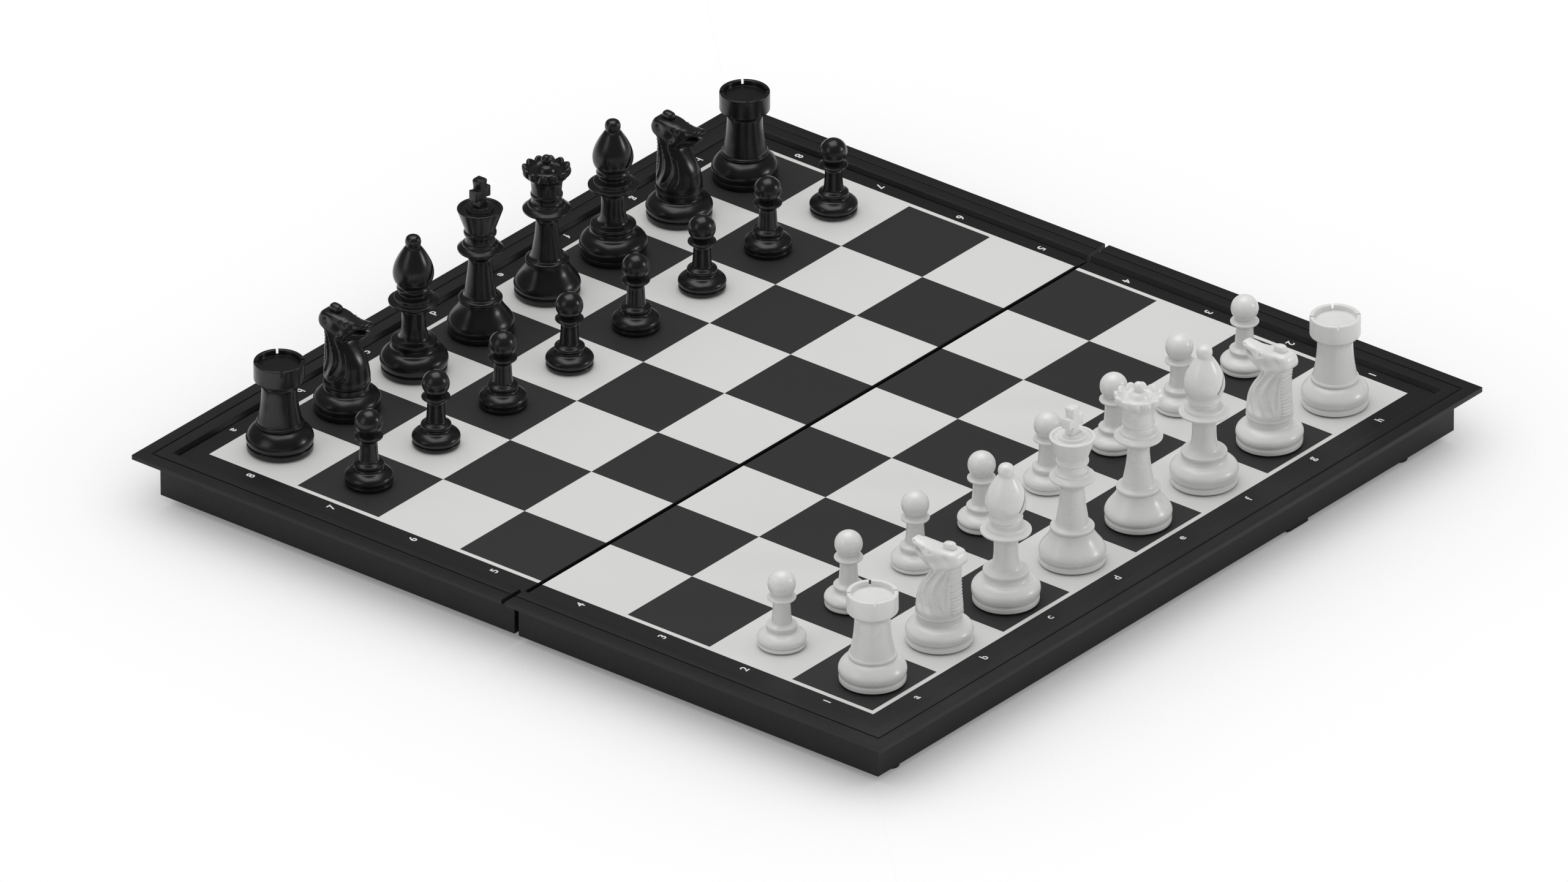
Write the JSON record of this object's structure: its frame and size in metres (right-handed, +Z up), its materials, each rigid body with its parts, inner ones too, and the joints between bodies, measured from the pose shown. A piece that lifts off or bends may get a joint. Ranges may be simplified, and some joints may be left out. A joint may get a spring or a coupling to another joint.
{
  "type": "folding magnetic chess set",
  "caption": "Folding magnetic travel chess set: hinged half-boxes with a printed board on top, snap hooks and stub feet, and the pieces set up for play.",
  "frame": {"origin": "on the table under the middle of the fold line", "axes": "+X along the ranks towards the h file, +Y along the files towards the black side, +Z up"},
  "size_m": [0.319, 0.3208, 0.0765],
  "materials": {
    "frame_plastic": "fine moulded texture, dark grey",
    "printed_steel": "printed chequered sheet steel, satin",
    "foot_rubber": "matt",
    "hinge_steel": "drawn wire",
    "magnet": "dull magnet disc",
    "white_piece": "moulded, soft gloss",
    "black_piece": "moulded, gloss"
  },
  "bodies": {
    "white_half": {"shell_white_side": "frame_plastic", "play_panel_white_side": "printed_steel", "foot_white_left": "foot_rubber", "foot_white_right": "foot_rubber", "hinge_pin_left": "hinge_steel", "hinge_pin_right": "hinge_steel"},
    "black_half": {"shell_black_side": "frame_plastic", "play_panel_black_side": "printed_steel", "foot_black_left": "foot_rubber", "foot_black_right": "foot_rubber"},
    "white_hook": {"latch_hook_white_side": "frame_plastic"},
    "black_hook": {"latch_hook_black_side": "frame_plastic"},
    "black_bishop_c": {"black_bishop_c": "black_piece", "magnet_black_bishop_c": "magnet"},
    "black_bishop_f": {"black_bishop_f": "black_piece", "magnet_black_bishop_f": "magnet"},
    "black_king": {"black_king": "black_piece", "magnet_black_king": "magnet"},
    "black_knight_b": {"black_knight_b": "black_piece", "magnet_black_knight_b": "magnet"},
    "black_knight_g": {"black_knight_g": "black_piece", "magnet_black_knight_g": "magnet"},
    "black_pawn_a": {"black_pawn_a": "black_piece"},
    "black_pawn_b": {"black_pawn_b": "black_piece"},
    "black_pawn_c": {"black_pawn_c": "black_piece"},
    "black_pawn_d": {"black_pawn_d": "black_piece"},
    "black_pawn_e": {"black_pawn_e": "black_piece"},
    "black_pawn_f": {"black_pawn_f": "black_piece"},
    "black_pawn_g": {"black_pawn_g": "black_piece"},
    "black_pawn_h": {"black_pawn_h": "black_piece"},
    "black_queen": {"black_queen": "black_piece", "magnet_black_queen": "magnet"},
    "black_rook_a": {"black_rook_a": "black_piece", "magnet_black_rook_a": "magnet"},
    "black_rook_h": {"black_rook_h": "black_piece", "magnet_black_rook_h": "magnet"},
    "white_bishop_c": {"white_bishop_c": "white_piece", "magnet_white_bishop_c": "magnet"},
    "white_bishop_f": {"white_bishop_f": "white_piece", "magnet_white_bishop_f": "magnet"},
    "white_king": {"white_king": "white_piece", "magnet_white_king": "magnet"},
    "white_knight_b": {"white_knight_b": "white_piece", "magnet_white_knight_b": "magnet"},
    "white_knight_g": {"white_knight_g": "white_piece", "magnet_white_knight_g": "magnet"},
    "white_pawn_a": {"white_pawn_a": "white_piece"},
    "white_pawn_b": {"white_pawn_b": "white_piece"},
    "white_pawn_c": {"white_pawn_c": "white_piece"},
    "white_pawn_d": {"white_pawn_d": "white_piece"},
    "white_pawn_e": {"white_pawn_e": "white_piece"},
    "white_pawn_f": {"white_pawn_f": "white_piece"},
    "white_pawn_g": {"white_pawn_g": "white_piece"},
    "white_pawn_h": {"white_pawn_h": "white_piece"},
    "white_queen": {"white_queen": "white_piece", "magnet_white_queen": "magnet"},
    "white_rook_a": {"white_rook_a": "white_piece", "magnet_white_rook_a": "magnet"},
    "white_rook_h": {"white_rook_h": "white_piece", "magnet_white_rook_h": "magnet"}
  },
  "joints": [
    {"name": "board_fold", "type": "hinge", "parent": "white_half", "child": "black_half", "pos_m": [0, 0, 0.00325], "axis": [-1, 0, 0], "range_deg": [0, 180]},
    {"name": "latch_flex_white", "type": "hinge", "parent": "white_half", "child": "white_hook", "pos_m": [0.07175, -0.1502, 0.0123], "axis": [1, 0, 0], "range_deg": [0, 8], "stiffness_Nm_per_rad": 0.01},
    {"name": "latch_flex_black", "type": "hinge", "parent": "black_half", "child": "black_hook", "pos_m": [-0.07175, 0.1502, 0.0123], "axis": [-1, 0, 0], "range_deg": [0, 8], "stiffness_Nm_per_rad": 0.01},
    {"name": "lift_black_bishop_c", "type": "slide", "parent": "black_half", "child": "black_bishop_c", "axis": [0, 0, 1], "range_m": [0, 0.025]},
    {"name": "lift_black_bishop_f", "type": "slide", "parent": "black_half", "child": "black_bishop_f", "axis": [0, 0, 1], "range_m": [0, 0.025]},
    {"name": "lift_black_king", "type": "slide", "parent": "black_half", "child": "black_king", "axis": [0, 0, 1], "range_m": [0, 0.025]},
    {"name": "lift_black_knight_b", "type": "slide", "parent": "black_half", "child": "black_knight_b", "axis": [0, 0, 1], "range_m": [0, 0.025]},
    {"name": "lift_black_knight_g", "type": "slide", "parent": "black_half", "child": "black_knight_g", "axis": [0, 0, 1], "range_m": [0, 0.025]},
    {"name": "lift_black_pawn_a", "type": "slide", "parent": "black_half", "child": "black_pawn_a", "axis": [0, 0, 1], "range_m": [0, 0.025]},
    {"name": "lift_black_pawn_b", "type": "slide", "parent": "black_half", "child": "black_pawn_b", "axis": [0, 0, 1], "range_m": [0, 0.025]},
    {"name": "lift_black_pawn_c", "type": "slide", "parent": "black_half", "child": "black_pawn_c", "axis": [0, 0, 1], "range_m": [0, 0.025]},
    {"name": "lift_black_pawn_d", "type": "slide", "parent": "black_half", "child": "black_pawn_d", "axis": [0, 0, 1], "range_m": [0, 0.025]},
    {"name": "lift_black_pawn_e", "type": "slide", "parent": "black_half", "child": "black_pawn_e", "axis": [0, 0, 1], "range_m": [0, 0.025]},
    {"name": "lift_black_pawn_f", "type": "slide", "parent": "black_half", "child": "black_pawn_f", "axis": [0, 0, 1], "range_m": [0, 0.025]},
    {"name": "lift_black_pawn_g", "type": "slide", "parent": "black_half", "child": "black_pawn_g", "axis": [0, 0, 1], "range_m": [0, 0.025]},
    {"name": "lift_black_pawn_h", "type": "slide", "parent": "black_half", "child": "black_pawn_h", "axis": [0, 0, 1], "range_m": [0, 0.025]},
    {"name": "lift_black_queen", "type": "slide", "parent": "black_half", "child": "black_queen", "axis": [0, 0, 1], "range_m": [0, 0.025]},
    {"name": "lift_black_rook_a", "type": "slide", "parent": "black_half", "child": "black_rook_a", "axis": [0, 0, 1], "range_m": [0, 0.025]},
    {"name": "lift_black_rook_h", "type": "slide", "parent": "black_half", "child": "black_rook_h", "axis": [0, 0, 1], "range_m": [0, 0.025]},
    {"name": "lift_white_bishop_c", "type": "slide", "parent": "white_half", "child": "white_bishop_c", "axis": [0, 0, 1], "range_m": [0, 0.025]},
    {"name": "lift_white_bishop_f", "type": "slide", "parent": "white_half", "child": "white_bishop_f", "axis": [0, 0, 1], "range_m": [0, 0.025]},
    {"name": "lift_white_king", "type": "slide", "parent": "white_half", "child": "white_king", "axis": [0, 0, 1], "range_m": [0, 0.025]},
    {"name": "lift_white_knight_b", "type": "slide", "parent": "white_half", "child": "white_knight_b", "axis": [0, 0, 1], "range_m": [0, 0.025]},
    {"name": "lift_white_knight_g", "type": "slide", "parent": "white_half", "child": "white_knight_g", "axis": [0, 0, 1], "range_m": [0, 0.025]},
    {"name": "lift_white_pawn_a", "type": "slide", "parent": "white_half", "child": "white_pawn_a", "axis": [0, 0, 1], "range_m": [0, 0.025]},
    {"name": "lift_white_pawn_b", "type": "slide", "parent": "white_half", "child": "white_pawn_b", "axis": [0, 0, 1], "range_m": [0, 0.025]},
    {"name": "lift_white_pawn_c", "type": "slide", "parent": "white_half", "child": "white_pawn_c", "axis": [0, 0, 1], "range_m": [0, 0.025]},
    {"name": "lift_white_pawn_d", "type": "slide", "parent": "white_half", "child": "white_pawn_d", "axis": [0, 0, 1], "range_m": [0, 0.025]},
    {"name": "lift_white_pawn_e", "type": "slide", "parent": "white_half", "child": "white_pawn_e", "axis": [0, 0, 1], "range_m": [0, 0.025]},
    {"name": "lift_white_pawn_f", "type": "slide", "parent": "white_half", "child": "white_pawn_f", "axis": [0, 0, 1], "range_m": [0, 0.025]},
    {"name": "lift_white_pawn_g", "type": "slide", "parent": "white_half", "child": "white_pawn_g", "axis": [0, 0, 1], "range_m": [0, 0.025]},
    {"name": "lift_white_pawn_h", "type": "slide", "parent": "white_half", "child": "white_pawn_h", "axis": [0, 0, 1], "range_m": [0, 0.025]},
    {"name": "lift_white_queen", "type": "slide", "parent": "white_half", "child": "white_queen", "axis": [0, 0, 1], "range_m": [0, 0.025]},
    {"name": "lift_white_rook_a", "type": "slide", "parent": "white_half", "child": "white_rook_a", "axis": [0, 0, 1], "range_m": [0, 0.025]},
    {"name": "lift_white_rook_h", "type": "slide", "parent": "white_half", "child": "white_rook_h", "axis": [0, 0, 1], "range_m": [0, 0.025]}
  ]
}
